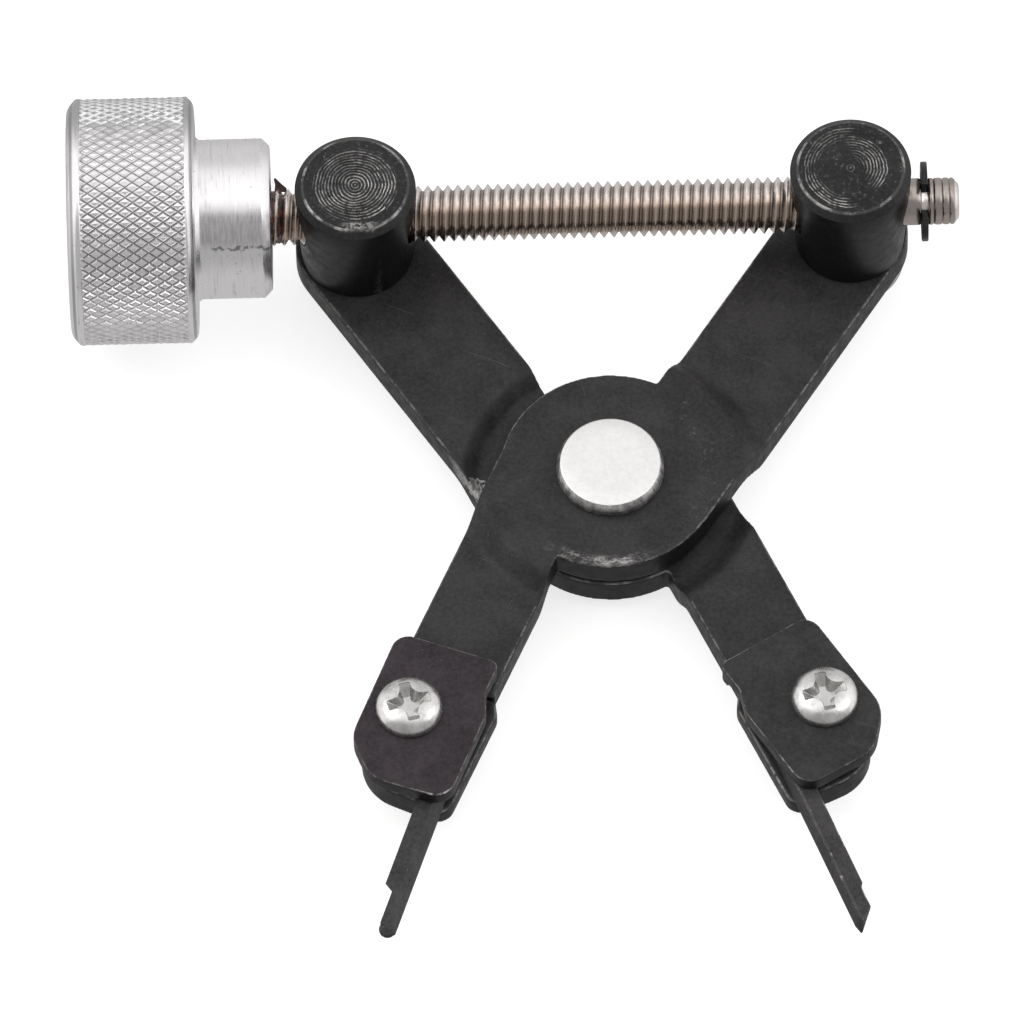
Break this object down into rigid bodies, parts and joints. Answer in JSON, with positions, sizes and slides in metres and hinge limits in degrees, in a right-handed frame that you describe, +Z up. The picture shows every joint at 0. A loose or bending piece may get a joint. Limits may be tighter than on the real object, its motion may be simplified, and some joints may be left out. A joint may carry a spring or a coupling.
{
  "type": "watch case back opener",
  "caption": "Crossed-arm adjustable case back opener: a knurled thumb screw spreads two riveted arms that hold small clamped claws.",
  "frame": {"origin": "centre of the pivot rivet's underside", "axes": "+X along the thumb screw away from the knob, +Y from the claws towards the screw, +Z up through the swivelling posts"},
  "size_m": [0.0623, 0.064, 0.018],
  "materials": {
    "arm_black": "black-oxide steel sheet, satin, worn at the edges",
    "post_black": "black-oxide turned steel, ringed on top",
    "clamp_black": "black-oxide pressed steel",
    "claw_black": "black hardened steel, ground at the tips",
    "rivet_bright": "bright nickel-plated, satin face",
    "screw_stainless": "stainless thread, semi-bright",
    "washer_steel": "plain steel",
    "knob_aluminium": "diamond knurl, turned rims and hub",
    "clip_black": "black spring steel",
    "sealant": "dried dark red thread sealant",
    "screw_zinc": "zinc-plated pan head"
  },
  "bodies": {
    "upper_arm": {"upper_arm": "arm_black", "pivot_rivet": "rivet_bright", "left_clamp_screw": "screw_zinc"},
    "lower_arm": {"lower_arm": "arm_black", "right_clamp_screw": "screw_zinc"},
    "threaded_post": {"threaded_swivel_post": "post_black", "threaded_post_washer": "washer_steel"},
    "plain_post": {"plain_swivel_post": "post_black", "plain_post_washer": "washer_steel"},
    "thumb_screw": {"lead_screw": "screw_stainless", "thumb_knob": "knob_aluminium", "retaining_clip": "clip_black", "thread_sealant": "sealant"},
    "left_clamp": {"left_clamp_plate": "clamp_black"},
    "right_clamp": {"right_clamp_plate": "clamp_black"},
    "left_claw": {"left_claw": "claw_black"},
    "right_claw": {"right_claw": "claw_black"}
  },
  "joints": [
    {"name": "arm_scissor", "type": "hinge", "parent": "upper_arm", "child": "lower_arm", "pos_m": [0, 0, 0.00475], "axis": [0, 0, 1], "range_deg": [-42.8, 2.8]},
    {"name": "plain_post_swivel", "type": "hinge", "parent": "upper_arm", "child": "plain_post", "pos_m": [0.0173, 0.01915, 0.00475], "axis": [0, 0, 1], "range_deg": [-21.4, 1.4]},
    {"name": "threaded_post_swivel", "type": "hinge", "parent": "lower_arm", "child": "threaded_post", "pos_m": [-0.0173, 0.01915, 0.00475], "axis": [0, 0, 1], "range_deg": [-1.4, 21.4]},
    {"name": "knob_turn", "type": "hinge", "parent": "plain_post", "child": "thumb_screw", "pos_m": [0.0173, 0.01915, 0.00935], "axis": [1, 0, 0], "range_deg": [-8300, 540]},
    {"name": "left_clamp_swivel", "type": "hinge", "parent": "upper_arm", "child": "left_clamp", "pos_m": [-0.01435, -0.01885, 0.00475], "axis": [0, 0, 1], "range_deg": [-20, 20]},
    {"name": "right_clamp_swivel", "type": "hinge", "parent": "lower_arm", "child": "right_clamp", "pos_m": [0.01435, -0.01885, 0.00475], "axis": [0, 0, 1], "range_deg": [-20, 15]},
    {"name": "left_claw_slide", "type": "slide", "parent": "upper_arm", "child": "left_claw", "axis": [-0.3322, -0.9432, 0], "range_m": [-0.0005, 0.003]},
    {"name": "right_claw_slide", "type": "slide", "parent": "lower_arm", "child": "right_claw", "axis": [0.3616, -0.9323, 0], "range_m": [-0.0005, 0.003]}
  ],
  "couplings": [
    {"joint": "arm_scissor", "follows": "knob_turn", "ratio": 0.005115},
    {"joint": "plain_post_swivel", "follows": "knob_turn", "ratio": 0.0025575},
    {"joint": "threaded_post_swivel", "follows": "knob_turn", "ratio": -0.0025575}
  ]
}
